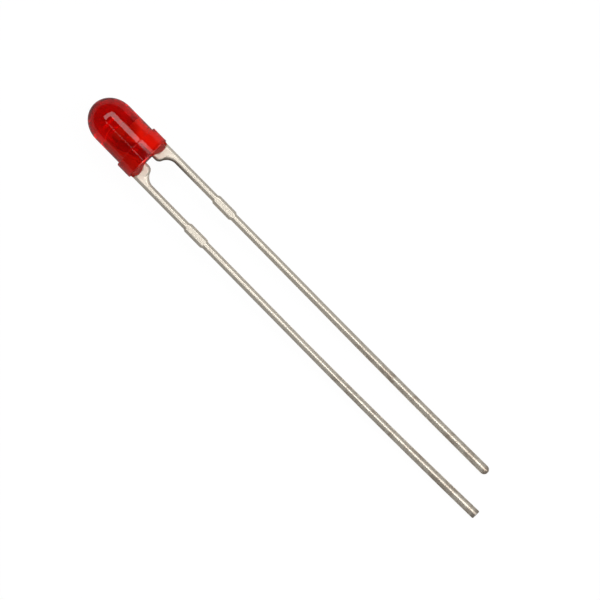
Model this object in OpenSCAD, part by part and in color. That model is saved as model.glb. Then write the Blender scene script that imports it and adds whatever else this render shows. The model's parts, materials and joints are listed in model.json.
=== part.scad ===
// Through-hole LED, 3 mm round lens, two leads at 2.54 mm.
//
// Each piece is drawn in the LED's own straight frame: the seat is the plane x = 0, the leads run
// towards +X, the dome points to -X, and the cathode lies at +Y. Heights inside the body are
// measured from the seat towards the dome. laid_down() then turns the whole LED as it comes to
// rest on a table, on the lower edge of its rim and on its two lead tips.

/* [Body] */
// Diameter of the barrel, which the dome continues
lens_d = 3.0; // [2.9:0.05:3.2]
// Height of the body from its seat to the top of the dome
body_h = 4.9; // [4.6:0.1:5.6]
// Height of the dome above the straight barrel
dome_h = 1.7; // [1.4:0.05:1.8]
// Diameter of the rim
rim_d = 3.35; // [3.3:0.05:3.9]
// Height of the rim above the seat
rim_h = 1.1; // [0.9:0.05:1.3]
// Radius on the rim's two edges
rim_edge_r = 0.08; // [0.08:0.01:0.12]
// Depth of the flat that marks the cathode's side of the rim
flat_depth = 0.05; // [0.03:0.01:0.07]
// How far the resin creeps down the leads below the seat
creep_h = 0.34; // [0.1:0.02:0.34]
// Thickness of that resin where it leaves the seat
creep_t = 0.08; // [0.04:0.01:0.1]

/* [Leads] */
// Distance between the two leads' centre lines
pitch = 2.54; // [2.5:0.01:2.58]
// Width of a lead
lead_w = 0.52; // [0.45:0.01:0.55]
// Thickness of the sheet that both leads are stamped from
sheet_t = 0.45; // [0.4:0.01:0.5]
// Length of the anode lead below the seat
anode_len = 30.8; // [24:0.1:32]
// Length of the cathode lead below the seat
cathode_len = 29.4; // [22:0.1:30]
// Where the solder coat starts to thicken the leads, below the seat
dip_start = 15; // [10:0.5:20]
// Width of a lead at its dipped tip
dip_w = 0.62; // [0.56:0.01:0.66]
// How far the anode's tip bends towards the cathode's side
anode_bow = 0.24; // [0:0.01:0.3]
// How far the cathode's tip bends away from the anode
cathode_bow = 0.1; // [0:0.01:0.3]

/* [Shoulders and stubs] */
// Gap between the two shoulders where they leave the seat
shoulder_gap = 0.52; // [0.4:0.02:0.6]
// Straight length of a shoulder below the seat
shoulder_len = 0.35; // [0.3:0.05:0.6]
// Length of the S-shaped step from the shoulder to the lead
step_len = 1.1; // [0.9:0.05:1.4]
// Radius of the shoulder's corner at the top of the step
shoulder_r = 0.4; // [0.3:0.02:0.44]
// Start of the stand-off stubs below the seat
stub_start = 4.8; // [4:0.1:6]
// Length of a stub along the lead
stub_len = 1.7; // [1:0.1:2]
// Width across a lead and its stubs
stub_w = 0.68; // [0.6:0.01:0.8]
// Length of the slope at each end of a stub
stub_slope = 0.14; // [0.08:0.02:0.2]

/* [Post and anvil] */
// Resin between the metal's outer side and the barrel's surface
skin = 0.45; // [0.35:0.01:0.5]
// Height in the rim up to which the metal keeps the leads' outer width
foot_h = 0.45; // [0.3:0.05:0.6]
// Height over which the metal narrows to fit the barrel
neck_h = 0.5; // [0.3:0.05:0.6]
// Height of the post's top, where the wire is bonded
post_h = 2.65; // [2.4:0.05:2.7]
// Width of the post
post_w = 0.4; // [0.3:0.02:0.44]
// Height at which the post reaches its full narrowness
post_hip_h = 1.7; // [1.5:0.05:1.9]
// Height at which the anvil starts to lean under the cup
lean_h = 0.9; // [0.7:0.05:1]
// Height of the anvil's outer top
anvil_h = 2.25; // [2.1:0.05:2.3]

/* [Reflector cup] */
// Height of the cup's rim above the seat
cup_h = 2.65; // [2.55:0.05:2.7]
// Diameter of the round head that holds the cup
head_d = 0.9; // [0.86:0.01:0.92]
// Height of the head below its rim, down to the cone that meets the sheet
head_h = 0.55; // [0.45:0.05:0.6]
// Height of that cone
head_cone_h = 0.3; // [0.2:0.05:0.4]
// Diameter of the cup at its rim
cup_d = 0.76; // [0.7:0.01:0.78]
// Diameter of the cup's floor
floor_d = 0.44; // [0.43:0.01:0.5]
// Depth of the cup
cup_depth = 0.32; // [0.3:0.01:0.34]

/* [Chip and bond] */
// Side of the square chip
die_w = 0.26; // [0.22:0.01:0.28]
// Height of the chip
die_t = 0.2; // [0.16:0.01:0.22]
// Diameter of the silver resin under the chip
attach_d = 0.4; // [0.36:0.01:0.4]
// Thickness of the silver resin
attach_t = 0.03; // [0.02:0.005:0.04]
// Diameter of the bond wire
wire_d = 0.03; // [0.025:0.005:0.04]
// Diameter of the wire's ball on the chip
ball_d = 0.1; // [0.08:0.01:0.12]
// Height of the ball
ball_h = 0.04; // [0.03:0.005:0.05]
// How far the wire's loop rises above the post
loop_h = 0.3; // [0.2:0.02:0.4]
// Length of the stitch that ends the wire on the post
stitch_l = 0.12; // [0.08:0.01:0.16]
// Width of the stitch
stitch_w = 0.07; // [0.05:0.01:0.09]
// Thickness of the stitch
stitch_t = 0.02; // [0.015:0.005:0.025]

/* [Hidden] */
$fn = 64;

ARC_STEPS = 8; // points along each round of a stamped edge
BEND_STEPS = 8; // points along the bowed end of a lead
WIRE_SIDES = 8; // sides of the bond wire
WIRE_STEPS = 18; // rings along the bond wire

lens_r = lens_d / 2;
rim_r = rim_d / 2;
barrel_h = body_h - dome_h;

// Edges of the cathode's metal, as distances from the LED's axis; the anode's mirror them.
lead_in = (pitch - lead_w) / 2;
lead_out = (pitch + lead_w) / 2;
shoulder_in = shoulder_gap / 2;
metal_out = lens_r - skin;

// The S-shaped step turns through two equal angles, so its rise and run give the second radius.
step_rise = lead_in - shoulder_in;
step_turn = 2 * atan(step_rise / step_len);
step_r = (pow(step_len, 2) + pow(step_rise, 2)) / (2 * step_rise) - shoulder_r;

floor_h = cup_h - cup_depth;
die_h = floor_h + attach_t;
bond_h = die_h + die_t;
post_mid = metal_out - post_w / 2;

// At rest the rim's rounded edge, the anode's inner corner and the cathode's tip touch one plane.
// Its upward direction, seen from the straight LED, is [up_x, up_y, up_z]; up_x settles in a few
// rounds, because the rim and the sheet both reach down a little less as the LED leans.
anode_touch_y = -pitch / 2 + anode_bow + dip_w / 2;
cathode_touch_y = pitch / 2 + cathode_bow;
lean_ratio = (anode_len - cathode_len) / (cathode_touch_y - anode_touch_y);
lean_reach = anode_len + lean_ratio * anode_touch_y;
function rim_drop(up_x) = (rim_r - rim_edge_r) * sqrt(1 - pow(up_x, 2)) + rim_edge_r * (1 + up_x);
function lead_drop(up_x) = sheet_t / 2 * sqrt(1 - pow(up_x, 2) * (1 + pow(lean_ratio, 2)));
function lean(up_x, rounds) =
    rounds == 0 ? up_x : lean((lead_drop(up_x) - rim_drop(up_x)) / lean_reach, rounds - 1);
up_x = lean(0, 6);
up_y = lean_ratio * up_x;
up_z = sqrt(1 - pow(up_x, 2) - pow(up_y, 2));
pitch_down = asin(-up_x);
roll = atan2(up_y, up_z);

// Share of the way from a to b, held between 0 and 1.
function ramp(x, a, b) = max(0, min(1, (x - a) / (b - a)));

// A lead's half width and centre line where its solder coat thickens it and its end bows.
function half_width(x, length) = (lead_w + (dip_w - lead_w) * ramp(x, dip_start, length)) / 2;
function centre_y(x, length, bow) = pitch / 2 + bow * pow(ramp(x, dip_start, length), 2);
function bend_stations(last) = [for (i = [0:BEND_STEPS]) dip_start + (last - dip_start) * i / BEND_STEPS];

// The inner edge from the seat down the shoulder and its S-shaped step to the lead.
function step_edge() = concat(
    [[0, shoulder_in]],
    [for (i = [0:ARC_STEPS]) let (a = step_turn * i / ARC_STEPS)
        [shoulder_len + shoulder_r * sin(a), shoulder_in + shoulder_r * (1 - cos(a))]],
    [for (i = [1:ARC_STEPS]) let (a = step_turn * (1 - i / ARC_STEPS))
        [shoulder_len + step_len - step_r * sin(a), lead_in - step_r * (1 - cos(a))]]);

// The stub on one edge of the lead; side is -1 on the inner edge and 1 on the outer.
function stub_edge(side) =
    let (edge = pitch / 2 + side * lead_w / 2, top = pitch / 2 + side * stub_w / 2)
    [[stub_start, edge], [stub_start + stub_slope, top],
     [stub_start + stub_len - stub_slope, top], [stub_start + stub_len, edge]];

// The bowed end of the lead; the tip is square, or a half circle of the lead's own width.
function end_edge(length, bow, rounded) =
    let (tip_r = rounded ? dip_w / 2 : 0,
         last = length - tip_r,
         tip_y = centre_y(last, length, bow),
         xs = bend_stations(last))
    concat(
        [for (x = xs) [x, centre_y(x, length, bow) - half_width(x, length)]],
        rounded
            ? [for (i = [1:2 * ARC_STEPS - 1]) let (a = -90 + 90 * i / ARC_STEPS)
                [last + tip_r * cos(a), tip_y + half_width(last, length) * sin(a)]]
            : [],
        [for (i = [BEND_STEPS:-1:0]) [xs[i], centre_y(xs[i], length, bow) + half_width(xs[i], length)]]);

function reversed(points) = [for (i = [len(points) - 1:-1:0]) points[i]];

// A lead's whole stamped outline on the cathode's side; inner_end is its end inside the body.
function lead_outline(length, bow, rounded, inner_end) = concat(
    step_edge(), stub_edge(-1), end_edge(length, bow, rounded), reversed(stub_edge(1)),
    [[-foot_h, lead_out], [-foot_h - neck_h, metal_out]], inner_end);

POST_END = [[-post_h, metal_out], [-post_h, metal_out - post_w],
            [-post_hip_h, metal_out - post_w], [-foot_h, shoulder_in]];
ANVIL_END = [[-anvil_h, metal_out], [-anvil_h, 0], [-(cup_h - head_h), -head_d / 2],
             [-lean_h, shoulder_in]];

// Turns what is drawn upright on the seat so that its height runs towards the dome.
module along_axis() {
    rotate([0, -90, 0]) children();
}

module laid_down() {
    rotate([roll, pitch_down, 0]) children();
}

module stamped(outline) {
    translate([0, 0, -sheet_t / 2])
        linear_extrude(sheet_t) polygon(outline);
}

// Half of the body's section: the barrel, and a half ellipse for the dome.
module lens_section() {
    square([lens_r, barrel_h]);
    translate([0, barrel_h])
        intersection() {
            scale([1, dome_h / lens_r]) circle(lens_r);
            square([lens_r, dome_h]);
        }
}

// Half of the rim's section, with both edges rounded.
module rim_section() {
    rounds = [for (i = [0:ARC_STEPS]) 90 * i / ARC_STEPS];
    inset = rim_r - rim_edge_r;
    polygon(concat(
        [[0, 0]],
        [for (a = rounds) [inset + rim_edge_r * sin(a), rim_edge_r * (1 - cos(a))]],
        [for (a = rounds) [inset + rim_edge_r * cos(a), rim_h - rim_edge_r * (1 - sin(a))]],
        [[0, rim_h]]));
}

module rim() {
    difference() {
        along_axis() rotate_extrude() rim_section();
        translate([-2 * rim_h, rim_r - flat_depth, -rim_r]) cube([3 * rim_h, rim_r, 2 * rim_r]);
    }
}

// The resin that creeps down a shoulder: a concave slope on its faces and its inner edge.
module creep() {
    steps = [for (i = [0:ARC_STEPS]) i / ARC_STEPS];
    function slope(share) = creep_t * pow(1 - share, 2);
    half_t = sheet_t / 2;
    intersection() {
        translate([0, 0, -rim_r])
            linear_extrude(2 * rim_r)
                polygon(concat([[-rim_edge_r, lead_out], [-rim_edge_r, shoulder_in - creep_t]],
                               [for (s = steps) [creep_h * s, shoulder_in - slope(s)]],
                               [[creep_h, lead_out]]));
        rotate([90, 0, 0])
            linear_extrude(2 * rim_r, center = true)
                polygon(concat([[-rim_edge_r, -half_t - creep_t], [-rim_edge_r, half_t + creep_t]],
                               [for (s = steps) [creep_h * s, half_t + slope(s)]],
                               [for (s = reversed(steps)) [creep_h * s, -half_t - slope(s)]]));
    }
}

module cup_head() {
    along_axis() {
        translate([0, 0, cup_h - head_h]) cylinder(h = head_h, d = head_d);
        translate([0, 0, cup_h - head_h - head_cone_h])
            cylinder(h = head_cone_h, d1 = sheet_t, d2 = head_d);
    }
}

module cup_hollow() {
    along_axis()
        translate([0, 0, floor_h])
            rotate_extrude()
                polygon([[0, 0], [floor_d / 2, 0], [cup_d / 2, cup_depth], [cup_d / 2, 2 * cup_depth],
                         [0, 2 * cup_depth]]);
}

module straight_anode() {
    mirror([0, 1, 0]) stamped(lead_outline(anode_len, -anode_bow, false, POST_END));
}

module straight_cathode() {
    difference() {
        union() {
            stamped(lead_outline(cathode_len, cathode_bow, true, ANVIL_END));
            cup_head();
        }
        cup_hollow();
    }
}

module straight_attach() {
    along_axis() translate([0, 0, floor_h]) cylinder(h = attach_t, d = attach_d);
}

module straight_die() {
    translate([-bond_h, -die_w / 2, -die_w / 2]) cube([die_t, die_w, die_w]);
}

// Points of the loop along a cubic curve, from inside the ball to the top of the stitch. It leaves
// the chip straight up and comes down to the post at a slant.
function loop_point(s) =
    let (start = [-bond_h - ball_h / 2, 0, 0],
         stop = [-post_h - wire_d / 2, -post_mid, 0],
         first_handle = start - [2 * loop_h, 0, 0],
         last_handle = stop - [loop_h, -loop_h, 0])
    pow(1 - s, 3) * start + 3 * pow(1 - s, 2) * s * first_handle
    + 3 * (1 - s) * pow(s, 2) * last_handle + pow(s, 3) * stop;

// The loop lies in the leads' plane, so each ring spans that plane's normal and the direction across.
module wire_loop() {
    points = [for (i = [0:WIRE_STEPS]) loop_point(i / WIRE_STEPS)];
    ahead = [for (i = [0:WIRE_STEPS]) points[min(i + 1, WIRE_STEPS)] - points[max(i - 1, 0)]];
    rings = [for (i = [0:WIRE_STEPS]) let (across = [-ahead[i][1], ahead[i][0], 0] / norm(ahead[i]))
        for (k = [0:WIRE_SIDES - 1]) let (a = 360 * (k + 0.5) / WIRE_SIDES)
            points[i] + wire_d / 2 * (cos(a) * across + sin(a) * [0, 0, 1])];
    function at(i, k) = i * WIRE_SIDES + (k % WIRE_SIDES);
    polyhedron(rings, concat(
        [[for (k = [0:WIRE_SIDES - 1]) at(0, k)]],
        [for (i = [0:WIRE_STEPS - 1]) for (k = [0:WIRE_SIDES - 1])
            [at(i, k), at(i + 1, k), at(i + 1, k + 1), at(i, k + 1)]],
        [[for (k = [WIRE_SIDES - 1:-1:0]) at(WIRE_STEPS, k)]]));
}

module straight_wire() {
    along_axis() translate([0, 0, bond_h]) cylinder(h = ball_h, d = ball_d);
    wire_loop();
    translate([-post_h - stitch_t, -post_mid - stitch_l / 2, -stitch_w / 2])
        cube([stitch_t, stitch_l, stitch_w]);
}

module straight_lens() {
    difference() {
        union() {
            along_axis() rotate_extrude() lens_section();
            rim();
            creep();
            mirror([0, 1, 0]) creep();
        }
        straight_anode();
        straight_cathode();
        straight_attach();
        straight_die();
        straight_wire();
    }
}

module epoxy_lens() { color([0.75, 0.03, 0.02, 0.6]) laid_down() straight_lens(); }
module anode_lead() { color([0.8, 0.78, 0.74]) laid_down() straight_anode(); }
module cathode_lead() { color([0.8, 0.78, 0.74]) laid_down() straight_cathode(); }
module led_die() { color([0.25, 0.22, 0.2]) laid_down() straight_die(); }
module die_attach() { color([0.6, 0.6, 0.6]) laid_down() straight_attach(); }
module bond_wire() { color([0.95, 0.75, 0.3]) laid_down() straight_wire(); }

epoxy_lens();
anode_lead();
cathode_lead();
led_die();
die_attach();
bond_wire();
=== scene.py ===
"""Looks of a 3 mm through-hole LED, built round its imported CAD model.

Every piece is shaped in the LED's own straight frame: the seat is the plane x = 0, the leads run
towards +X, the dome points to -X and the cathode lies at +Y. RestPose then turns it as the LED
lies on a table. All sizes are in metres and repeat the CAD model's.
"""

import json
import logging
import math
from collections.abc import Callable, Iterator
from contextlib import contextmanager
from dataclasses import dataclass, field
from enum import Enum
from typing import Any, NamedTuple

import bmesh
import bpy
import numpy as np
from mathutils import Matrix, Vector


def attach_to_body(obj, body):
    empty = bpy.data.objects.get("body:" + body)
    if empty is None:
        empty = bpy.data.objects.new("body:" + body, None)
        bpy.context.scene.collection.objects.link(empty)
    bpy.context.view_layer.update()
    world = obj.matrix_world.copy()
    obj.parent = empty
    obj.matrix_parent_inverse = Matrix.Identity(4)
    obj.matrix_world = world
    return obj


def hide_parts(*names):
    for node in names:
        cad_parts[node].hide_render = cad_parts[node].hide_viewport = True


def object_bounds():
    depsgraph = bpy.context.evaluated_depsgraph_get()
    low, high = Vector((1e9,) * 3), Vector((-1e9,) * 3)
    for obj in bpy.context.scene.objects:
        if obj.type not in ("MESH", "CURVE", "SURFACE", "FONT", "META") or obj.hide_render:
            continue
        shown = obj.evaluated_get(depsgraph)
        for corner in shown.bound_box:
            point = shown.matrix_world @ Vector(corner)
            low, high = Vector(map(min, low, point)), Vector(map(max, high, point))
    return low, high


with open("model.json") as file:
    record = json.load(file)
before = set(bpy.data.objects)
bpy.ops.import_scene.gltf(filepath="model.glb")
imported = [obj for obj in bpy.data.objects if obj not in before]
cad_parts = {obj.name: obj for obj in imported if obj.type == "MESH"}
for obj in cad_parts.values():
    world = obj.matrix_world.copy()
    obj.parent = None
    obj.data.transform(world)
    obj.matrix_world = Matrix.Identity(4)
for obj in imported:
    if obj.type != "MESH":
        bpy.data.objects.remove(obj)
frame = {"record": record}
CAD_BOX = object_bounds()

MM = 0.001
UM = 0.000001
log = logging.getLogger("led")

Colour = tuple[float, float, float]
Span = tuple[float, float]
Line = list[tuple[float, float]]


# ---------------------------------------------------------------- frame and bench


class Side(Enum):
    """The two leads, as the sign of y on which each lies."""

    ANODE = -1
    CATHODE = 1


class TipShape(Enum):
    """How a lead ends: the length over which its tip closes, and how far it closes."""

    SQUARE = (0.06 * MM, 0.6)
    ROUND = (0.31 * MM, 0.98)


class Element(Enum):
    """What a hand move works on in edit mode."""

    EDGE = "EDGE"
    FACE = "FACE"


class Edge(NamedTuple):
    """One edge of a lead's cross-section: its y and how far in from it the rounding reaches."""

    y: float
    reach: float


@dataclass(frozen=True)
class Section:
    """One cross-section of a lead, flat on top and below between two rounded edges.

    half is half its thickness, drop how far down the rounding reaches, fullness the exponent of
    the rounding's curve, and hem the width of the narrow strip that lies flat beside it.
    """

    x: float
    low: Edge
    high: Edge
    half: float
    drop: float
    fullness: float
    steps: int = 4
    hem: float = 0.01 * MM

    def _corner(self, edge: Edge, inward: int) -> Line:
        """Rounds the upper quarter of one edge.

        Args:
            edge: the edge.
            inward: the sign of y towards the section's middle.

        Returns:
            The quarter's points, from its top to its outermost one.
        """
        points = []
        for step in range(self.steps + 1):
            angle = math.pi / 2 * step / self.steps
            out, up = (
                max(wave(angle), 0.0) ** (2 / self.fullness) for wave in (math.sin, math.cos)
            )
            y = edge.y + inward * edge.reach * (1 - out)
            points.append((y, self.half - self.drop * (1 - up)))
        return points

    def outline(self) -> list[Vector]:
        """The section's points in order, always the same number of them.

        Returns:
            The points, from the middle of the top round by the high edge.
        """
        left, right = self.low.y + self.low.reach, self.high.y - self.high.reach
        high_half = [
            ((left + right) / 2, self.half),
            (right - self.hem, self.half),
            *self._corner(self.high, -1),
        ]
        low_half = [*reversed(self._corner(self.low, 1)), (left + self.hem, self.half)]
        points = [
            *high_half,
            *[(y, -z) for y, z in reversed(high_half)],
            *[(y, -z) for y, z in reversed(low_half)],
            *low_half,
        ]
        return [Vector((self.x, y, z)) for y, z in points]


@dataclass(frozen=True)
class RestPose:
    """How the straight LED lies in the row frame."""

    turn: Matrix

    @classmethod
    def from_record(cls, record: dict[str, Any]) -> "RestPose":
        """Reads the LED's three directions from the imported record's mounts.

        Args:
            record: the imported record, whose origin is the seat's centre.

        Returns:
            The pose whose turn carries a straight point to its place at rest.
        """
        mounts = {mount["name"]: mount for mount in record["mounts"]}
        along = Vector(mounts["seat"]["axis"]).normalized()
        across = Vector(mounts["cathode_pin"]["pos_m"]) - Vector(mounts["anode_pin"]["pos_m"])
        across = (across - across.dot(along) * along).normalized()
        return cls(Matrix((along, across, along.cross(across))).transposed().to_4x4())


def clear_bench() -> None:
    """Leaves edit mode and deselects everything."""
    if bpy.context.mode != "OBJECT":
        bpy.ops.object.mode_set(mode="OBJECT")
    bpy.ops.object.select_all(action="DESELECT")


class Workpiece:
    """One mesh on the bench. Each method is one move of the hand on it."""

    weld = 0.05 * UM

    def __init__(self, name: str, add: Callable[..., Any], **settings: Any) -> None:
        """Adds the primitive that the piece starts from.

        Args:
            name: the piece's name.
            add: the operator that adds the primitive.
            **settings: that operator's sizes and place.
        """
        clear_bench()
        add(**settings)
        self.object = bpy.context.active_object
        self.object.name = self.object.data.name = name
        self.element = Element.FACE
        bpy.ops.object.transform_apply(location=True, rotation=True, scale=True)

    def hold(self) -> None:
        """Selects this piece alone and makes it the active one."""
        clear_bench()
        self.object.select_set(True)
        bpy.context.view_layer.objects.active = self.object

    @contextmanager
    def editing(self, element: Element) -> Iterator[None]:
        """Opens the piece in edit mode for the moves inside the block.

        Args:
            element: what is selected there.
        """
        self.hold()
        bpy.ops.object.mode_set(mode="EDIT")
        bpy.ops.mesh.select_mode(type=element.value)
        self.element = element
        yield
        bpy.ops.object.mode_set(mode="OBJECT")

    def pick(self, chosen: Callable[[Vector], bool]) -> None:
        """Selects what has all its points where a test says.

        Args:
            chosen: the test of one point.
        """
        bpy.ops.mesh.select_all(action="DESELECT")
        mesh = bmesh.from_edit_mesh(self.object.data)
        for part in mesh.edges if self.element is Element.EDGE else mesh.faces:
            part.select_set(all(chosen(point.co) for point in part.verts))
        bmesh.update_edit_mesh(self.object.data)

    @staticmethod
    def move(x: float) -> None:
        """Moves what is selected along the LED."""
        bpy.ops.transform.translate(value=(x, 0, 0))

    @staticmethod
    def widen(ratio: float, x: float) -> None:
        """Scales what is selected about the LED's axis, in the plane at x."""
        bpy.ops.transform.resize(value=(1, ratio, ratio), center_override=(x, 0, 0))

    @staticmethod
    def extrude(x: float = 0) -> None:
        """Pulls what is selected out along the LED."""
        bpy.ops.mesh.extrude_region_move(TRANSFORM_OT_translate={"value": (x, 0, 0)})

    def lay_ring(self, ring: list[Vector]) -> None:
        """Pulls the selected face's points onto a ring.

        Args:
            ring: a place for each of the face's points, in their order.
        """
        mesh = bmesh.from_edit_mesh(self.object.data)
        (face,) = [face for face in mesh.faces if face.select]
        for point, place in zip([loop.vert for loop in face.loops], ring):
            point.co = place
        bmesh.update_edit_mesh(self.object.data)

    @staticmethod
    def bevel(width: float, segments: int) -> None:
        """Rounds the selected edges."""
        bpy.ops.mesh.bevel(offset=width, segments=segments, profile=0.5, affect="EDGES")

    def outward(self) -> None:
        """Merges doubled points and turns every face outwards."""
        with self.editing(Element.FACE):
            bpy.ops.mesh.select_all(action="SELECT")
            bpy.ops.mesh.remove_doubles(threshold=self.weld)
            bpy.ops.mesh.normals_make_consistent(inside=False)

    def modify(self, kind: str, **settings: Any) -> None:
        """Adds one modifier and applies it.

        Args:
            kind: the modifier's type.
            **settings: its values.
        """
        self.hold()
        modifier = self.object.modifiers.new(kind.lower(), kind)
        for key, value in settings.items():
            setattr(modifier, key, value)
        bpy.ops.object.modifier_apply(modifier=modifier.name)

    def fuse(self, other: "Workpiece") -> None:
        """Joins another piece to this one as one solid."""
        self.modify("BOOLEAN", operation="UNION", solver="EXACT", object=other.object)
        bpy.data.objects.remove(other.object)

    def paint(self, material: bpy.types.Material) -> None:
        """Gives the piece one material all over.

        Args:
            material: the finish.
        """
        self.object.data.materials.clear()
        self.object.data.materials.append(material)
        for face in self.object.data.polygons:
            face.material_index = 0

    def lay_down(self, pose: RestPose, crease: float = 35) -> None:
        """Turns the finished piece to its place at rest and shades it.

        Args:
            pose: how the LED lies.
            crease: the angle in degrees from which an edge stays sharp.
        """
        self.object.matrix_world = pose.turn
        self.hold()
        bpy.ops.object.transform_apply(location=True, rotation=True, scale=True)
        bpy.ops.object.shade_smooth_by_angle(angle=math.radians(crease))

    def hand_over(self, node: str, slot: str) -> None:
        """Lets the piece stand for a CAD node.

        Args:
            node: the node that it replaces.
            slot: not used.
        """
        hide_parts(node)
        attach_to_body(self.object, "root")
        faces = len(self.object.data.polygons)
        log.info("%s stands for %s with %d faces", self.object.name, node, faces)


def disc(
    name: str, foot: float, diameter: float, thickness: float, sides: int = 32
) -> Workpiece:
    """Cuts a disc that lies across the LED's axis.

    Args:
        name: its name.
        foot: the height above the seat on which it stands.
        diameter: its diameter.
        thickness: its thickness.
        sides: the sides of its outline.

    Returns:
        The disc.
    """
    return Workpiece(
        name,
        bpy.ops.mesh.primitive_cylinder_add,
        vertices=sides,
        radius=diameter / 2,
        depth=thickness,
        location=(-foot - thickness / 2, 0, 0),
        rotation=(0, -math.pi / 2, 0),
    )


def block(name: str, foot: float, y: float, size: tuple[float, float, float]) -> Workpiece:
    """Cuts a block.

    Args:
        name: its name.
        foot: the height above the seat on which it stands.
        y: how far to the side of the axis its middle lies.
        size: its height, width and depth.

    Returns:
        The block.
    """
    place = (-foot - size[0] / 2, y, 0)
    return Workpiece(name, bpy.ops.mesh.primitive_cube_add, size=1, scale=size, location=place)


# ---------------------------------------------------------------- shader nodes


class Number:
    """A number in a shader. Python's operators on it add the matching Math nodes."""

    def __init__(self, graph: "Graph", socket: bpy.types.NodeSocket) -> None:
        """Wraps one output socket."""
        self.graph = graph
        self.socket = socket

    def _math(self, operation: str, first: Any, second: Any) -> "Number":
        """Adds one Math node on two values or links."""
        node = self.graph.node("ShaderNodeMath", {"operation": operation}, {0: first, 1: second})
        return Number(self.graph, node.outputs[0])

    def __add__(self, other: Any) -> "Number":
        """Adds the other value."""
        return self._math("ADD", self, other)

    def __sub__(self, other: Any) -> "Number":
        """Takes the other value away."""
        return self._math("SUBTRACT", self, other)

    def __rsub__(self, other: Any) -> "Number":
        """Takes this value away from the other."""
        return self._math("SUBTRACT", other, self)

    def __mul__(self, other: Any) -> "Number":
        """Multiplies by the other value."""
        return self._math("MULTIPLY", self, other)

    __radd__ = __add__
    __rmul__ = __mul__

    def smaller(self, other: Any) -> "Number":
        """The smaller of this value and the other."""
        return self._math("MINIMUM", self, other)

    def spread(self, start: float, stop: float) -> "Number":
        """A ramp on the distance from zero, the same for either sign."""
        return (self * self).ramp(start**2, stop**2)

    def ramp(self, start: float, stop: float) -> "Number":
        """A smooth step from 0 at start to 1 at stop.

        Args:
            start: the value at which it leaves 0.
            stop: the value at which it reaches 1.

        Returns:
            The step as a number.
        """
        node = self.graph.node(
            "ShaderNodeMapRange",
            {"interpolation_type": "SMOOTHSTEP"},
            {"Value": self, "From Min": start, "From Max": stop},
        )
        return Number(self.graph, node.outputs[0])


class Graph:
    """The node tree of one material or of the world."""

    def __init__(self, tree: bpy.types.NodeTree) -> None:
        """Starts from an empty tree."""
        self.tree = tree
        tree.nodes.clear()

    def node(
        self,
        kind: str,
        settings: dict[str, Any] | None = None,
        inputs: dict[Any, Any] | None = None,
    ) -> bpy.types.Node:
        """Adds one node.

        Args:
            kind: the node's type.
            settings: its own choices, set first.
            inputs: a value, socket or Number for each input, by name or number.

        Returns:
            The node.
        """
        made = self.tree.nodes.new(kind)
        for key, value in (settings or {}).items():
            setattr(made, key, value)
        for key, value in (inputs or {}).items():
            source = value.socket if isinstance(value, Number) else value
            if isinstance(source, bpy.types.NodeSocket):
                self.tree.links.new(source, made.inputs[key])
            else:
                made.inputs[key].default_value = source
        return made

    def number(self, node: bpy.types.Node, output: str) -> Number:
        """One output of a node as a Number."""
        return Number(self, node.outputs[output])

    def blend(self, factor: Any, first: Any, second: Any) -> bpy.types.NodeSocket:
        """Mixes two colours.

        Args:
            factor: 0 for the first colour, 1 for the second.
            first: a colour or link.
            second: a colour or link.

        Returns:
            The mixed colour's socket.
        """
        made = self.node("ShaderNodeMix", {"data_type": "RGBA"}, {0: factor, 6: first, 7: second})
        return made.outputs[2]

    def along_led(
        self, pose: RestPose, stretch: tuple[float, float, float] = (1, 1, 1)
    ) -> bpy.types.NodeSocket:
        """Object coordinates turned into the straight LED frame.

        Args:
            pose: how the LED lies.
            stretch: repeats per metre along, across and through the sheet.

        Returns:
            The coordinates' socket.
        """
        place = self.node("ShaderNodeTexCoord").outputs["Object"]
        straight = self.node(
            "ShaderNodeMapping",
            {"vector_type": "POINT"},
            {"Vector": place, "Rotation": pose.turn.inverted().to_euler()},
        )
        scaled = self.node(
            "ShaderNodeVectorMath", {"operation": "MULTIPLY"}, {0: straight.outputs[0], 1: stretch}
        )
        return scaled.outputs[0]

    def noise(
        self, place: bpy.types.NodeSocket, scale: float, detail: float, roughness: float = 0.55
    ) -> Number:
        """Adds a noise pattern.

        Args:
            place: the coordinates that it follows.
            scale: its repeats per metre.
            detail: how many finer layers it has.
            roughness: how strong each finer layer is against the one before.

        Returns:
            The pattern, from 0 to 1.
        """
        made = self.node(
            "ShaderNodeTexNoise",
            {"noise_dimensions": "3D"},
            {"Vector": place, "Scale": scale, "Detail": detail, "Roughness": roughness},
        )
        return self.number(made, "Fac")

    def bump(self, height: Number, depth: float) -> bpy.types.NodeSocket:
        """A bump whose full height is a real depth in metres."""
        inputs = {"Strength": 1.0, "Distance": depth, "Height": height}
        return self.node("ShaderNodeBump", inputs=inputs).outputs[0]

    def mix(self, factor: Number, first: bpy.types.Node, second: bpy.types.Node) -> bpy.types.Node:
        """Mixes two shaders, from the first where the factor is 0 to the second where it is 1."""
        ends = {0: factor, 1: first.outputs[0], 2: second.outputs[0]}
        return self.node("ShaderNodeMixShader", inputs=ends)

    def surface(self, **inputs: Any) -> bpy.types.NodeSocket:
        """A Principled surface, with its sockets by name and underscores for spaces."""
        named = {key.replace("_", " "): value for key, value in inputs.items()}
        return self.node("ShaderNodeBsdfPrincipled", inputs=named).outputs[0]


def new_material(name: str) -> tuple[bpy.types.Material, Graph]:
    """Makes an empty node material.

    Args:
        name: its name.

    Returns:
        The material and its node tree.
    """
    material = bpy.data.materials.new(name)
    material.use_nodes = True
    return material, Graph(material.node_tree)


# ---------------------------------------------------------------- finishes


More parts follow.
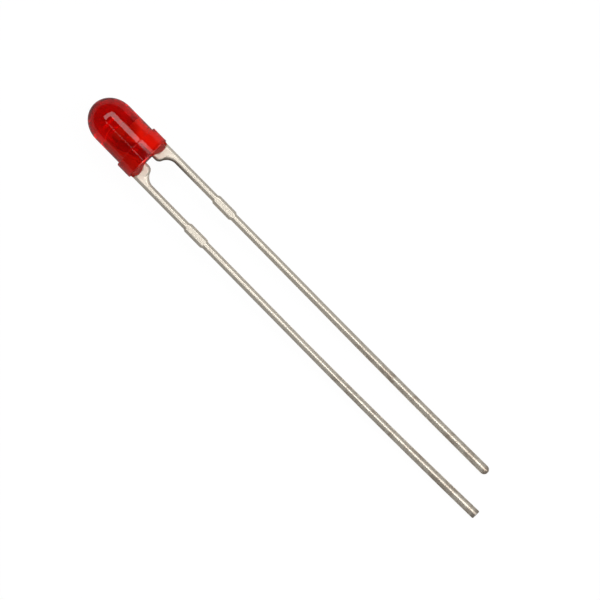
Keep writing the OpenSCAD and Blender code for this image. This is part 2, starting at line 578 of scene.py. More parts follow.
@dataclass(frozen=True)
class TintedEpoxy:
    """Clear cast epoxy with a red dye: glossy from the mould, duller on the rim and the seat."""

    pose: RestPose
    rim_h: float
    tint: Colour = (1.0, 0.05, 0.02)
    ior: float = 1.54
    absorbed: Colour = (0.99, 0.5, 0.2)
    density: float = 1500.0
    rim_blur: float = 0.02 * MM
    seat_reach: float = 0.05 * MM
    flow_scale: float = 900
    flow_depth: float = 6 * UM
    grain_scale: float = 14000
    grain_dulls: float = 0.03
    rim_dulls: float = 0.05
    seat_dulls: float = 0.12

    def material(self) -> bpy.types.Material:
        """Mixes the epoxy.

        Returns:
            The material, with the dye as its volume.
        """
        made, graph = new_material("tinted_epoxy")
        place = graph.along_led(self.pose)
        axial = graph.number(graph.node("ShaderNodeSeparateXYZ", inputs={0: place}), "X")
        rim = axial.ramp(-self.rim_h - self.rim_blur, -self.rim_h + self.rim_blur)
        seat = axial.ramp(-self.seat_reach, 0.0)
        flow = graph.noise(place, self.flow_scale, detail=2)
        grain = graph.noise(place, self.grain_scale, detail=4)
        surface = graph.surface(
            Base_Color=(*self.tint, 1),
            Roughness=rim * (self.rim_dulls + self.rim_dulls * grain)
            + self.grain_dulls * grain
            + self.seat_dulls * seat,
            IOR=self.ior,
            Transmission_Weight=1.0,
            Normal=graph.bump(flow, self.flow_depth),
        )
        dye = {"Color": (*self.absorbed, 1), "Density": self.density}
        depth = graph.node("ShaderNodeVolumeAbsorption", inputs=dye)
        ends = {"Surface": surface, "Volume": depth.outputs[0]}
        graph.node("ShaderNodeOutputMaterial", inputs=ends)
        return made


@dataclass(frozen=True)
class TinnedLead:
    """Stamped steel sheet: plated inside the body, tinned and solder dipped outside it.

    cut says how bare the steel is on the tip's end. sheared darkens the side wall of the inner
    edge
    near the body to the steel colour: partly bare sheared steel, partly painted shade, strongest
    on the cathode, whose inner edge faces away from the light.
    Something is absent at the first value of a Span and complete at its second. clouding and
    specking are a stain's strength on plain tin and what the dip adds to it. The plating colour is
    partly painted shade: the anode's is set darker for the shade on its post.
    """

    name: str
    pose: RestPose
    dip_start: float
    creep_h: float
    length: float
    cut: float
    sheared_steel_and_shade: float
    # partly painted shade: the anode's plating is set darker than the cathode's for the shade on
    # its post
    plating_with_shade: Colour
    tin: Colour = (0.97, 0.89, 0.76)
    tarnish: Colour = (0.6, 0.5, 0.4)
    stained: Colour = (0.5, 0.38, 0.28)
    # painted shade: a darker plating colour laid round the cup
    cup_painted_shade: Colour = (0.5, 0.46, 0.42)
    steel_and_edge_shade: Colour = (0.2, 0.16, 0.13)
    creep_arch: Span = (0.0, 0.75 * MM)
    creep_edge: Span = (-0.05 * MM, 0.03 * MM)
    wetted_x: Span = (-0.3 * MM, 0.0)
    cup_h: float = 2.2 * MM
    cup_shade_reach: Span = (1.0 * MM, 0.4 * MM)
    dip_reach: float = 5 * MM
    cut_reach: Span = (0.4 * MM, 0.15 * MM)
    lip_z: Span = (0.22 * MM, 0.15 * MM)
    inner_y: Span = (1.3 * MM, 1.1 * MM)
    sheared_shade_x: Span = (4 * MM, 1.4 * MM)
    shoulder_x: Span = (2.2 * MM, 1.0 * MM)
    drawn: tuple[float, float, float] = (0.12, 1, 1)
    scratch_scale: float = 16000
    mottle_scale: float = 1700
    mottle_share: Span = (0.42, 0.7)
    clouding: Span = (0.15, 0.65)
    speck_scale: float = 5200
    speck_share: Span = (0.54, 0.7)
    specking: Span = (0.1, 0.3)
    metallic: float = 0.65
    dullness: float = 0.3
    mottle_dulls: float = 0.05
    scratch_dulls: float = 0.04
    dip_shines: float = 0.05
    shoulder_dulls: float = 0.1
    inside_dulls: float = 0.2
    scratch_relief: float = 0.05
    relief: float = 3 * UM

    def material(self) -> bpy.types.Material:
        """Rolls, plates and dips the sheet.

        Returns:
            The material.
        """
        made, graph = new_material(self.name)
        place = graph.along_led(self.pose)
        parts = graph.node("ShaderNodeSeparateXYZ", inputs={0: place})
        axial, across, thick = (graph.number(parts, axis) for axis in "XYZ")
        drawn = graph.along_led(self.pose, self.drawn)
        scratches = graph.noise(drawn, self.scratch_scale, detail=3)
        mottle = graph.noise(place, self.mottle_scale, detail=3, roughness=0.6)
        specks = graph.noise(place, self.speck_scale, detail=3, roughness=0.6)

        resin = self.creep_h * across.spread(*self.creep_arch)
        outside = (axial - resin).ramp(*self.creep_edge)
        dipped = axial.ramp(self.dip_start, self.dip_start + self.dip_reach)
        clouds, spots = (
            pattern.ramp(*shown) * (plain + added * dipped)
            for pattern, shown, (plain, added) in (
                (mottle, self.mottle_share, self.clouding),
                (specks, self.speck_share, self.specking),
            )
        )
        dirt = outside * (clouds + spots)

        # painted shade: the plating darkens towards the cup, standing in for the shade round the
        # cup head and the anvil's middle
        cup = axial + self.cup_h
        far, near = self.cup_shade_reach
        cup_painted_shade = (cup * cup + across * across).ramp(far**2, near**2)
        inside = graph.blend(cup_painted_shade, (*self.plating_with_shade, 1), (*self.cup_painted_shade, 1))
        inside = graph.blend(axial.ramp(*self.wetted_x), inside, (*self.stained, 1))
        plated = graph.blend(outside, inside, (*self.tin, 1))

        far, near = self.cut_reach
        cut = self.cut * axial.ramp(self.length - far, self.length - near)
        # Painted shade, partly real: the inner edge's side wall near the body turns to the steel
        # colour, partly bare sheared steel and partly shade, strongest on the cathode.
        lip, inner = thick.spread(*self.lip_z), across.spread(*self.inner_y)
        sheared_steel_and_shade = self.sheared_steel_and_shade * outside * lip * inner * axial.ramp(*self.sheared_shade_x)
        plated = graph.blend(cut + sheared_steel_and_shade, plated, (*self.steel_and_edge_shade, 1))

        surface = graph.surface(
            Base_Color=graph.blend(dirt, plated, (*self.tarnish, 1)),
            Metallic=self.metallic * outside,
            Roughness=self.dullness
            + self.mottle_dulls * mottle
            + self.scratch_dulls * scratches
            - self.dip_shines * dipped
            + self.shoulder_dulls * (outside * axial.ramp(*self.shoulder_x))
            + self.inside_dulls * (1 - outside),
            Normal=graph.bump(scratches * self.scratch_relief + mottle, self.relief),
        )
        graph.node("ShaderNodeOutputMaterial", inputs={"Surface": surface})
        return made


@dataclass(frozen=True)
class PlainFinish:
    """A small part's finish: one colour, clouded by another, over fine grain."""

    name: str
    colour: Colour
    cloud: Colour
    metallic: float
    roughness: float
    grain: float
    cloud_size: float = 4
    cloud_share: Span = (0.35, 0.75)
    grain_dulls: float = 0.12
    relief: float = 2 * UM

    def material(self) -> bpy.types.Material:
        """Mixes the finish.

        Returns:
            The material.
        """
        made, graph = new_material(self.name)
        place = graph.node("ShaderNodeTexCoord").outputs["Object"]
        clouds = graph.noise(place, self.grain / self.cloud_size, detail=3)
        shown = clouds.ramp(*self.cloud_share)
        grain = graph.noise(place, self.grain, detail=4)
        surface = graph.surface(
            Base_Color=graph.blend(shown, (*self.colour, 1), (*self.cloud, 1)),
            Metallic=self.metallic,
            Roughness=self.roughness + self.grain_dulls * grain,
            Normal=graph.bump(grain, self.relief),
        )
        graph.node("ShaderNodeOutputMaterial", inputs={"Surface": surface})
        return made


# ---------------------------------------------------------------- leads


def reading(edge: Line, x: float) -> float:
    """The y of an edge's line at one x."""
    return float(np.interp(x, [point[0] for point in edge], [point[1] for point in edge]))


def sideways(edge: Line, x: float, tick: float = 5 * UM) -> float:
    """How far an edge's line runs sideways for each length along it, read a tick either way."""
    return (reading(edge, x + tick) - reading(edge, x - tick)) / (2 * tick)


def draw_out(name: str, sections: list[Section]) -> Workpiece:
    """Draws a bar out of its first cross-section, one section at a time.

    Args:
        name: the bar's name.
        sections: its cross-sections, in order along x.

    Returns:
        The closed bar.
    """
    first, *others = sections
    ring = first.outline()
    bar = Workpiece(
        name,
        bpy.ops.mesh.primitive_circle_add,
        vertices=len(ring),
        radius=first.half,
        fill_type="NGON",
        location=(first.x, (first.low.y + first.high.y) / 2, 0),
        rotation=(0, math.pi / 2, 0),
    )
    with bar.editing(Element.FACE):
        bpy.ops.mesh.select_all(action="SELECT")
        bar.lay_ring(ring)
        for section in others:
            bar.extrude(x=section.x - ring[0].x)
            ring = section.outline()
            bar.lay_ring(ring)
    bar.outward()
    return bar


@dataclass(frozen=True)
class LeadSheet:
    """The stamped sheet that both leads are cut from.

    edge and dip_edge say how far in and how far down an edge is rounded, before and after the dip.
    """

    pitch: float = 2.54 * MM
    width: float = 0.52 * MM
    thickness: float = 0.45 * MM
    edge: Span = (0.19 * MM, 0.13 * MM)
    edge_fullness: float = 1.15
    guard: float = 0.06 * MM
    dip_start: float = 15 * MM
    dip_edge: Span = (0.31 * MM, 0.17 * MM)
    dip_fullness: float = 1.25
    coat: Span = (8 * MM, 20 * MM)
    dip_width: float = 0.62 * MM
    shoulder_in: float = 0.26 * MM
    shoulder_len: float = 0.35 * MM
    shoulder_r: float = 0.4 * MM
    step_len: float = 1.1 * MM
    stub_start: float = 4.8 * MM
    stub_len: float = 1.7 * MM
    stub_width: float = 0.68 * MM
    stub_slope: float = 0.14 * MM
    metal_out: float = 1.05 * MM
    foot_h: float = 0.45 * MM
    neck_h: float = 0.5 * MM
    arc_steps: int = 10
    bend_steps: int = 12
    tip_steps: int = 8

    @property
    def inner(self) -> float:
        """Distance of a lead's inner edge from the LED's axis."""
        return (self.pitch - self.width) / 2

    @property
    def outer(self) -> float:
        """Distance of a lead's outer edge from the LED's axis."""
        return (self.pitch + self.width) / 2

    def step(self) -> Line:
        """Draws the inner edge's S-shaped step as two arcs.

        Returns:
            The edge from the seat, down the shoulder and the step, to the straight lead.
        """
        rise = self.inner - self.shoulder_in
        turn = 2 * math.atan(rise / self.step_len)
        second_r = (self.step_len**2 + rise**2) / (2 * rise) - self.shoulder_r
        end = self.shoulder_len + self.step_len
        shares = [i / self.arc_steps for i in range(self.arc_steps + 1)]
        first = [
            (
                self.shoulder_len + self.shoulder_r * math.sin(turn * s),
                self.shoulder_in + self.shoulder_r * (1 - math.cos(turn * s)),
            )
            for s in shares
        ]
        second = [
            (
                end - second_r * math.sin(turn * (1 - s)),
                self.inner - second_r * (1 - math.cos(turn * (1 - s))),
            )
            for s in shares[1:]
        ]
        return [(0.0, self.shoulder_in), *first, *second]

    def coated(self, x: float) -> float:
        """How far the solder coat rounds the lead at x, from 0 to 1."""
        share = min(max((x - self.coat[0]) / (self.coat[1] - self.coat[0]), 0.0), 1.0)
        return share * share * (3 - 2 * share)

    def section(
        self,
        side: Side,
        x: float,
        near: float,
        far: float,
        lean: Span = (0.0, 0.0),
        share: float = 1.0,
        cover: float = 0.0,
    ) -> Section:
        """One cross-section of a lead, with its edges rounded square to the way they run.

        Args:
            side: the lead.
            x: where it is.
            near: distance of the inner edge from the LED's axis.
            far: distance of the outer edge.
            lean: how far each edge runs sideways for each length along the lead.
            share: 1 for the sheet's full thickness, less where a tip closes.
            cover: thickness of a layer on the lead's faces.

        Returns:
            The section on that lead's side of the axis.
        """
        coat = self.coated(x)
        reach, drop = (bare + coat * (full - bare) for bare, full in zip(self.edge, self.dip_edge))
        most = (far - near) / 2 - 2 * Section.hem
        inner, outer = (min(reach * math.hypot(1, slope), most) * share for slope in lean)
        edges = Edge(near, inner), Edge(far, outer)
        if side is Side.ANODE:
            edges = Edge(-far, outer), Edge(-near, inner)
        fullness = self.edge_fullness + coat * (self.dip_fullness - self.edge_fullness)
        return Section(x, *edges, share * self.thickness / 2 + cover, share * drop, fullness)

    def stub(self, edge: int) -> Line:
        """Draws one edge of the stand-off stub.

        Args:
            edge: -1 for the inner one, 1 for the outer one.

        Returns:
            The stub's four corners there.
        """
        foot, top = ((self.pitch + edge * width) / 2 for width in (self.width, self.stub_width))
        start, end = self.stub_start, self.stub_start + self.stub_len
        slope_end, slope_start = start + self.stub_slope, end - self.stub_slope
        return [(start, foot), (slope_end, top), (slope_start, top), (end, foot)]


@dataclass(frozen=True)
class Lead:
    """One stamped lead, from its end inside the body to its tip."""

    name: str
    side: Side
    length: float
    bow: float
    tip: TipShape
    inner_end: tuple[Span, ...]
    sheet: LeadSheet = field(default_factory=LeadSheet)

    def _closing(self, x: float) -> float:
        """How much of the lead's full section is left at x, where its tip closes."""
        reach, closed = self.tip.value
        return math.sqrt(1 - (closed * max(1 - (self.length - x) / reach, 0.0)) ** 2)

    def _end(self, edge: int) -> Line:
        """Draws one edge of the bowed, solder-coated end.

        Args:
            edge: -1 for the inner one, 1 for the outer one.

        Returns:
            The edge from where the dip starts to the tip.
        """
        sheet, reach = self.sheet, self.tip.value[0]
        last = self.length - reach
        quarter = np.radians(np.linspace(0, 90, sheet.tip_steps))
        tip = [last + reach * math.sin(angle) for angle in quarter[1:]]
        points = []
        for x in (*np.linspace(sheet.dip_start, last, sheet.bend_steps), *tip):
            share = (min(x, last) - sheet.dip_start) / (self.length - sheet.dip_start)
            half = (sheet.width + (sheet.dip_width - sheet.width) * share) / 2
            middle = sheet.pitch / 2 + self.bow * share**2
            points.append((float(x), middle + edge * half * self._closing(x)))
        return points

    def sections(self) -> list[Section]:
        """The lead's cross-sections from the body's inside to the tip.

        Returns:
            A section at each corner of either edge, one close by where a straight run starts or
            ends, and those that close the tip.
        """
        sheet = self.sheet
        top = self.inner_end[0][0]
        inner = [*self.inner_end, *sheet.step(), *sheet.stub(-1), *self._end(-1)]
        outer = [
            (top, sheet.metal_out),
            (-sheet.foot_h - sheet.neck_h, sheet.metal_out),
            (-sheet.foot_h, sheet.outer),
            *sheet.stub(1),
            *self._end(1),
        ]
        corners = sorted({round(x, 9) for x, _ in inner + outer})
        guards = [
            x
            for start, stop in zip(corners, corners[1:])
            if stop - start > 4 * sheet.guard
            for x in (start + sheet.guard, stop - sheet.guard)
        ]
        made = []
        for x in sorted(corners + guards):
            near, far = reading(inner, x), reading(outer, x)
            stamped = x < sheet.dip_start
            lean = (sideways(inner, x), sideways(outer, x)) if stamped else (0.0, 0.0)
            made.append(sheet.section(self.side, x, near, far, lean, self._closing(x)))
        return made

    def build(self) -> Workpiece:
        """Draws the lead, still straight."""
        return draw_out(self.name, self.sections())


@dataclass(frozen=True)
class ReflectorCup:
    """The round head with the cup that is pressed into the cathode's anvil."""

    rim_h: float = 2.65 * MM
    head_d: float = 0.9 * MM
    head_h: float = 0.55 * MM
    cone_h: float = 0.3 * MM
    cone_d: float = 0.45 * MM
    cup_d: float = 0.76 * MM
    floor_d: float = 0.44 * MM
    depth: float = 0.32 * MM
    rim_r: float = 0.012 * MM
    sides: int = 64

    def build(self) -> Workpiece:
        """Turns the head, its cone and its cup from one cylinder.

        Returns:
            The head, still straight.
        """
        foot = self.rim_h - self.head_h
        head = disc("reflector_cup", foot, self.head_d, self.head_h, self.sides)
        middle = -foot - self.head_h / 2
        with head.editing(Element.FACE):
            head.pick(lambda point: point.x > middle)
            head.extrude(x=self.cone_h)
            head.widen(self.cone_d / self.head_d, self.cone_h - foot)
            head.pick(lambda point: point.x < middle)
            head.extrude()
            head.widen(self.cup_d / self.head_d, -self.rim_h)
            head.extrude(x=self.depth)
            head.widen(self.floor_d / self.cup_d, -self.rim_h + self.depth)
        with head.editing(Element.EDGE):
            head.pick(lambda point: abs(point.x + self.rim_h) < UM)
            head.bevel(self.rim_r, segments=2)
        head.outward()
        return head


# ---------------------------------------------------------------- lens


@dataclass(frozen=True)
class Lens:
    """The cast body: seat, rim, barrel and dome, with the resin that creeps down the shoulders.

    rim_r is 2 um under the CAD model's, so that this finer rim stays inside its box. creep_slant
    says how far the resin's near and far edges draw in by its end, and creep_curl how late.
    """

    lens_r: float = 1.5 * MM
    body_h: float = 4.9 * MM
    dome_h: float = 1.7 * MM
    rim_r: float = 1.673 * MM
    rim_h: float = 1.1 * MM
    rim_edge_r: float = 0.08 * MM
    seat_edge_r: float = 0.03 * MM
    corner_r: float = 0.03 * MM
    flat_depth: float = 0.05 * MM
    creep_h: float = 0.34 * MM
    creep_t: float = 0.08 * MM
    creep_sink: float = 2 * UM
    creep_outside: float = 0.25
    creep_slant: Span = (0.55 * MM, 0.22 * MM)
    creep_curl: Span = (1.5, 4)
    creep_steps: int = 16
    sides: int = 144
    edge_steps: int = 6
    corner_steps: int = 3
    dome_rings: int = 28
    sheet: LeadSheet = field(default_factory=LeadSheet)

    def build(self) -> Workpiece:
        """Turns the body from one cylinder, cuts its flat and adds the creeping resin.

        Returns:
            The lens, still straight.
        """
        body = disc("tinted_lens", 0.0, 2 * self.rim_r, self.rim_h, self.sides)
        self._turn_barrel_and_dome(body)
        self._round_rim(body)
        with body.editing(Element.FACE):
            bpy.ops.mesh.select_all(action="SELECT")
            bpy.ops.mesh.bisect(
                plane_co=(0, self.rim_r - self.flat_depth, 0),
                plane_no=(0, 1, 0),
                clear_outer=True,
                use_fill=True,
                threshold=0.1 * UM,
            )
        body.outward()
        for side in Side:
            body.fuse(self._creep(side))
        body.outward()
        return body

    def _turn_barrel_and_dome(self, body: Workpiece) -> None:
        """Pulls the barrel out of the rim's top and closes the dome ring by ring.

        Args:
            body: the rim, as a plain cylinder.
        """
        barrel_h = self.body_h - self.dome_h
        with body.editing(Element.FACE):
            body.pick(lambda point: point.x < -self.rim_h / 2)
            body.extrude()
            body.widen(self.lens_r / self.rim_r, -self.rim_h)
            body.extrude(x=self.rim_h - barrel_h)
            height, radius = barrel_h, self.lens_r
            for ring in range(1, self.dome_rings):
                angle = math.pi / 2 * ring / self.dome_rings
                ring_h = barrel_h + self.dome_h * math.sin(angle)
                ring_r = self.lens_r * math.cos(angle)
                body.extrude(x=height - ring_h)
                body.widen(ring_r / radius, -ring_h)
                height, radius = ring_h, ring_r
            body.extrude(x=height - self.body_h)
            bpy.ops.mesh.merge(type="CENTER")

    @staticmethod
    def _on_ring(x: float, radius: float) -> Callable[[Vector], bool]:
        """Tests for the points of one ring round the LED's axis.

        Args:
            x: where the ring lies.
            radius: its radius.

        Returns:
            The test of one point.
        """
        return lambda point: (
            abs(point.x - x) < UM and abs(math.hypot(point.y, point.z) - radius) < 2 * UM
        )

    def _round_rim(self, body: Workpiece) -> None:
        """Rounds the rim's two edges and the corner where the barrel stands on it.

        Args:
            body: the turned body.
        """
        with body.editing(Element.EDGE):
            for x, radius in ((0.0, self.seat_edge_r), (-self.rim_h, self.rim_edge_r)):
                body.pick(self._on_ring(x, self.rim_r))
                body.bevel(radius, self.edge_steps)
            body.pick(self._on_ring(-self.rim_h, self.lens_r))
            body.bevel(self.corner_r, self.corner_steps)

    def _creep(self, side: Side) -> Workpiece:
        """The resin that creeps down one shoulder, thinning in an arch until it meets the metal.

        Args:
            side: the lead whose shoulder it is.

        Returns:
            The resin, rooted inside the body.
        """
        root = -1.5 * self.rim_edge_r
        run = [self.creep_h * step / self.creep_steps for step in range(self.creep_steps + 1)]
        made = []
        for x in (root, *run):
            share = max(x, 0.0) / self.creep_h
            cover = self.creep_t * (1 - share) - self.creep_sink
            arch, corner = (
                slant * share**curl for slant, curl in zip(self.creep_slant, self.creep_curl)
            )
            near = self.sheet.shoulder_in - cover + arch
            far = self.sheet.outer + cover * self.creep_outside - corner
            made.append(self.sheet.section(side, x, near, far, cover=cover))
        return draw_out("creep", made)


# ---------------------------------------------------------------- chip and bond


@dataclass(frozen=True)
class ChipBond:
    """The chip on its silver resin in the cup, and the gold wire from it to the post.

    stitch is the flattened end's height, width and depth.
    """

    floor_h: float = 2.33 * MM
    attach_d: float = 0.4 * MM
    attach_t: float = 0.03 * MM
    attach_lip: Span = (0.02 * MM, 0.03 * MM)
    attach_rise: float = 0.004 * MM
    die_w: float = 0.26 * MM
    die_t: float = 0.2 * MM
    pad_d: float = 0.14 * MM
    pad_t: float = 0.004 * MM
    wire_d: float = 0.03 * MM
    ball_d: float = 0.1 * MM
    ball_h: float = 0.04 * MM
    ball_edge_r: float = 0.018 * MM
    edge_r: float = 0.008 * MM
    loop_h: float = 0.3 * MM
    stitch: tuple[float, float, float] = (0.02 * MM, 0.12 * MM, 0.07 * MM)
    post_h: float = 2.65 * MM
    post_mid: float = 0.85 * MM

    @property
    def die_h(self) -> float:
        """Height of the chip's underside."""
        return self.floor_h + self.attach_t

    @property
    def bond_h(self) -> float:
        """Height of the chip's top."""
        return self.die_h + self.die_t

    def build_attach(self) -> Workpiece:
        """The silver resin, drawn up a little round the chip.

        Returns:
            The resin, still straight.
        """
        resin = disc("silver_paste", self.floor_h, self.attach_d, self.attach_t)
        with resin.editing(Element.FACE):
            resin.pick(lambda point: point.x < -self.floor_h - self.attach_t / 2)
            for width, rise in zip(self.attach_lip, (-self.attach_rise, self.attach_rise)):
                bpy.ops.mesh.inset(thickness=width)
                resin.move(x=rise)
        resin.outward()
        return resin

    def build_die(self) -> Workpiece:
        """The chip, with its edges broken and a round metal pad on top.

        Returns:
            The chip, still straight.
        """
        die = block("led_chip", self.die_h, 0, (self.die_t, self.die_w, self.die_w))
        with die.editing(Element.EDGE):
            bpy.ops.mesh.select_all(action="SELECT")
            die.bevel(self.edge_r, segments=2)
        die.fuse(disc("pad", self.bond_h - UM, self.pad_d, self.pad_t + UM))
        die.outward()
        return die

    def build_wire(self) -> Workpiece:
        """The looped wire with its ball on the chip and its stitch on the post.

        Returns:
            The wire, still straight.
        """
        start = Vector((-self.bond_h - self.ball_h / 2, 0, 0))
        stop = Vector((-self.post_h - self.wire_d / 2, -self.post_mid, 0))
        wire = Workpiece("gold_bond_wire", bpy.ops.curve.primitive_bezier_curve_add, radius=MM)
        line = wire.object.data
        line.bevel_depth, line.bevel_resolution, line.resolution_u = self.wire_d / 2, 3, 24
        line.use_fill_caps = True
        ends = line.splines[0].bezier_points
        for end, place in zip(ends, (start, stop)):
            end.handle_left_type = end.handle_right_type = "FREE"
            end.co = end.handle_left = end.handle_right = place
            end.radius = 1
        ends[0].handle_right = start - Vector((2 * self.loop_h, 0, 0))
        ends[1].handle_left = stop - Vector((self.loop_h, -self.loop_h, 0))
        wire.hold()
        bpy.ops.object.convert(target="MESH")
        wire.outward()
        ball = disc("ball", self.bond_h, self.ball_d, self.ball_h, sides=24)
        with ball.editing(Element.EDGE):
            ball.pick(lambda point: point.x < -self.bond_h - self.ball_h / 2)
            ball.bevel(self.ball_edge_r, segments=4)
        wire.fuse(ball)
        stitch = block("stitch", self.post_h, -self.post_mid, self.stitch)
        with stitch.editing(Element.EDGE):
            stitch.pick(lambda point: point.x < -self.post_h - self.stitch[0] / 2)
            stitch.bevel(self.edge_r, segments=2)
        wire.fuse(stitch)
        wire.outward()
        return wire


# ---------------------------------------------------------------- studio


class PerRay(NamedTuple):
    """One value for each kind of ray: from the camera, mirrored, through the resin, scattered."""

    camera: Any
    mirrored: Any
    through: Any
    scattered: Any


@dataclass(frozen=True)
class Softbox:
    """One flat soft lamp overhead that fills a range of directions, in degrees from the zenith."""

    name: str
    x_range: Span
    y_range: Span
    brightness: float
    height: float = 700 * MM

    def build(self) -> None:
        """Hangs the lamp, facing down, so that its own surface has the given brightness."""
        (x0, x1), (y0, y1) = (
            [self.height * math.tan(math.radians(angle)) for angle in span]
            for span in (self.x_range, self.y_range)
        )
        lamp = bpy.data.lights.new(self.name, "AREA")
        lamp.shape = "RECTANGLE"
        lamp.size, lamp.size_y = x1 - x0, y1 - y0
        lamp.energy = self.brightness * math.pi * lamp.size * lamp.size_y
        holder = bpy.data.objects.new(self.name, lamp)
        holder.location = ((x0 + x1) / 2, (y0 + y1) / 2, self.height)
        holder.visible_camera = False
        bpy.context.scene.collection.objects.link(holder)


@dataclass(frozen=True)
class Studio:
    """The pale floor, the soft light and the camera, whose lean and turn are in degrees."""

    pose: RestPose
    floor_size: float = 3.0
    floor_glow: PerRay = PerRay(0.92, 0.02, 0.03, 0.0)
    floor_strength: float = 1.05
    floor_white: float = 0.52
    floor_mirrored: float = 0.25
    sky_glow: PerRay = PerRay(1.0, 0.0, 1.0, 0.35)
    sky_top: float = 0.02
    sky_side: float = 0.04
    sky_band: Span = (0.0, 0.8)
    resin_dims: float = 0.7
    resin_dims_x: Span = (0.25, 0.45)
    view_lean: float = 1.8
    view_turn: float = 45.45
    view_width: float = 38.16 * MM
    view_range: float = 450 * MM
    view_centre: Span = (13.21 * MM, 0.58 * MM)
    view_clip: Span = (10 * MM, 10.0)
    sensor: float = 36.0
    softboxes: tuple[Softbox, ...] = (
        Softbox("main_softbox", (-36, -1), (17, 42), 2.7),
        Softbox("main_low_softbox", (-1, 28), (17, 42), 1.5),
        Softbox("cross_softbox", (-37, -22), (-14, 17), 2.6),
        Softbox("thin_strip", (-20, 12), (-20, -17), 1.6),
        Softbox("lead_top_softbox", (7.5, 21), (-4, 15), 4.9),
        Softbox("near_side_softbox", (24, 58), (-60, -27), 0.4),
        Softbox("far_side_softbox", (24, 48), (20, 44), 4.0),
    )

    def build(self) -> None:
        """Sets up the whole studio."""
        self._lay_floor()
        self._light_world()
        for softbox in self.softboxes:
            softbox.build()
        self._place_camera()
        bpy.context.scene.view_settings.view_transform = "Standard"

    @staticmethod
    def _rays(graph: Graph) -> PerRay:
        """Finds out what kind of ray is being shaded.

        Args:
            graph: the node tree that asks.

        Returns:
            1 for the ray's own kind and 0 for the others.
        """
        node = graph.node("ShaderNodeLightPath")
        kinds = ("Camera", "Glossy", "Transmission", "Diffuse")
        return PerRay(*[graph.number(node, f"Is {kind} Ray") for kind in kinds])

    @staticmethod
    def _glow_share(rays: PerRay, shares: PerRay) -> Number:
        """How far a backdrop glows white by itself; the rest of it is lit and shaded."""
        return sum(ray * share for ray, share in zip(rays, shares)).smaller(shares.camera)

    def _lay_floor(self) -> None:
        """Lays a white floor under the LED that still takes its shadow."""
        clear_bench()
        bpy.ops.mesh.primitive_plane_add(size=self.floor_size, location=(0, 0, CAD_BOX[0].z))
        floor = bpy.context.active_object
        floor.name = "floor"
        bpy.ops.object.transform_apply(location=True)
        made, graph = new_material("white_floor")
        white, mirrored = (
            graph.node("ShaderNodeBsdfDiffuse", inputs={"Color": (level, level, level, 1)})
            for level in (self.floor_white, self.floor_mirrored)
        )
        white_light = {"Color": (1, 1, 1, 1), "Strength": self.floor_strength}
        glow = graph.node("ShaderNodeEmission", inputs=white_light)
        rays = self._rays(graph)
        only_mirrored = rays.mirrored * (1 - rays.through)
        matte = graph.mix(only_mirrored, white, mirrored)
        mixed = graph.mix(self._glow_share(rays, self.floor_glow), matte, glow)
        graph.node("ShaderNodeOutputMaterial", inputs={"Surface": mixed.outputs[0]})
        floor.data.materials.append(made)

    def _light_world(self) -> None:
        """A dim grey room overhead, paler near the horizon, and white behind the object.

        Through the resin, the room is darker on the leads' side.
        """
        world = bpy.data.worlds.new("studio_room")
        world.use_nodes = True
        bpy.context.scene.world = world
        graph = Graph(world.node_tree)
        way = graph.node("ShaderNodeTexCoord").outputs["Generated"]
        parts = graph.node("ShaderNodeSeparateXYZ", inputs={0: way})
        along, up = graph.number(parts, "X"), graph.number(parts, "Z")
        level = self.sky_side + (self.sky_top - self.sky_side) * up.ramp(*self.sky_band)
        rays = self._rays(graph)
        dimmed = 1 - self.resin_dims * along.ramp(*self.resin_dims_x)
        rays = rays._replace(through=rays.through * dimmed)
        share = self._glow_share(rays, self.sky_glow)
        strength = share + (1 - share) * level
        white_light = {"Color": (1, 1, 1, 1), "Strength": strength}
        sky = graph.node("ShaderNodeBackground", inputs=white_light)
        graph.node("ShaderNodeOutputWorld", inputs={"Surface": sky.outputs[0]})

    def _place_camera(self) -> None:
        """Stands the camera nearly over the LED, leaning a little to the leads' side."""
        along, across, up = (self.pose.turn.to_3x3().col[i] for i in range(3))
        lean, turn = math.radians(self.view_lean), math.radians(self.view_turn)
        back = up * math.cos(lean) + along * math.sin(lean)
        down = (along - along.dot(back) * back).normalized()
        side = back.cross(down)
        right = down * math.cos(turn) + side * math.sin(turn)
        high = side * math.cos(turn) - down * math.sin(turn)
        lens = bpy.data.cameras.new("camera")
        lens.sensor_width = self.sensor
        lens.lens = self.sensor * self.view_range / self.view_width
        lens.clip_start, lens.clip_end = self.view_clip
        camera = bpy.data.objects.new("camera", lens)
        centre = along * self.view_centre[0] + across * self.view_centre[1]
        camera.matrix_world = Matrix.Translation(centre + back * self.view_range) @ Matrix(
            (right, high, back)
        ).transposed().to_4x4()
        bpy.context.scene.collection.objects.link(camera)
        bpy.context.scene.camera = camera


# ---------------------------------------------------------------- the LED


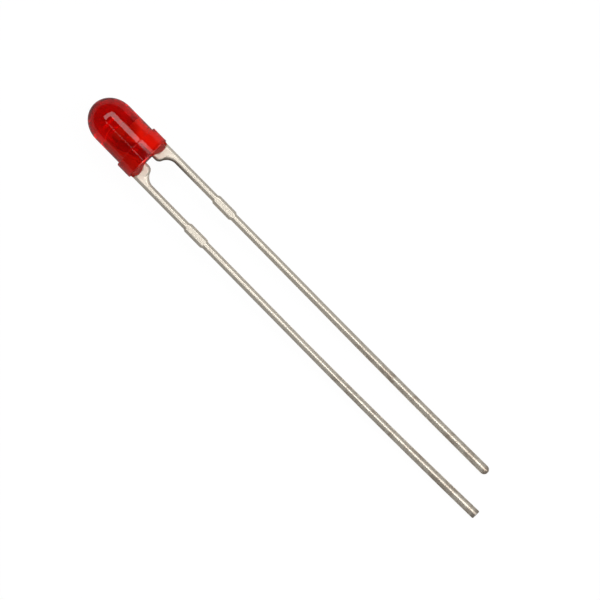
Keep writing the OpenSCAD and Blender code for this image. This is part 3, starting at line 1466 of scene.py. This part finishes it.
def main() -> None:
    """Builds the LED's pieces in order, then the studio."""
    logging.basicConfig(level=logging.INFO, format="%(message)s")
    pose = RestPose.from_record(frame["record"])
    sheet = LeadSheet()
    lens = Lens()
    epoxy = TintedEpoxy(pose, lens.rim_h).material()
    anode_len, cathode_len = 30.8 * MM, 29.4 * MM
    # The anode's plating is painted darker than the cathode's, as painted shade on its post inside
    # the body.
    anode_tin_shaded, cathode_tin_lit = (
        TinnedLead(
            name, pose, sheet.dip_start, lens.creep_h, length, cut, sheared_steel_and_shade, plating_with_shade
        ).material()
        for name, length, cut, sheared_steel_and_shade, plating_with_shade in (
            # sheared is stronger on the cathode, as painted shade on its inner edge, which faces
            # away from the light.
            ("tinned_anode", anode_len, 0.6, 0.2, (0.45, 0.43, 0.4)),
            ("tinned_cathode", cathode_len, 0.85, 0.95, (0.95, 0.93, 0.9)),
        )
    )
    chip, paste, gold = (
        PlainFinish(name, colour, cloud, metallic, roughness, grain).material()
        for name, colour, cloud, metallic, roughness, grain in (
            ("chip", (0.22, 0.18, 0.16), (0.3, 0.24, 0.2), 0.0, 0.35, 40000),
            ("silver_resin", (0.55, 0.54, 0.52), (0.42, 0.41, 0.4), 0.8, 0.5, 60000),
            ("gold_wire", (0.85, 0.6, 0.24), (0.78, 0.53, 0.2), 1.0, 0.35, 60000),
        )
    )

    anode = Lead(
        "anode_lead_tinned",
        Side.ANODE,
        length=anode_len,
        bow=-0.24 * MM,
        tip=TipShape.SQUARE,
        inner_end=((-2.65 * MM, 0.65 * MM), (-1.7 * MM, 0.65 * MM), (-0.45 * MM, 0.26 * MM)),
    ).build()
    cathode = Lead(
        "cathode_lead_tinned",
        Side.CATHODE,
        length=cathode_len,
        bow=0.1 * MM,
        tip=TipShape.ROUND,
        inner_end=((-2.25 * MM, 0.0), (-2.1 * MM, -0.45 * MM), (-0.9 * MM, 0.26 * MM)),
    ).build()
    cathode.fuse(ReflectorCup().build())
    cathode.outward()
    bond = ChipBond()
    attach, die, wire = bond.build_attach(), bond.build_die(), bond.build_wire()
    body = lens.build()

    for piece, node, slot, finish in (
        (body, "epoxy_lens", "tinted_epoxy", epoxy),
        (anode, "anode_lead", "tinned_lead", anode_tin_shaded),
        (cathode, "cathode_lead", "tinned_lead", cathode_tin_lit),
        (attach, "die_attach", "silver_resin", paste),
        (die, "led_die", "chip", chip),
        (wire, "bond_wire", "gold_wire", gold),
    ):
        piece.paint(finish)
        piece.lay_down(pose)
        piece.hand_over(node, slot)

    Studio(pose).build()


if __name__ == "__main__":
    main()
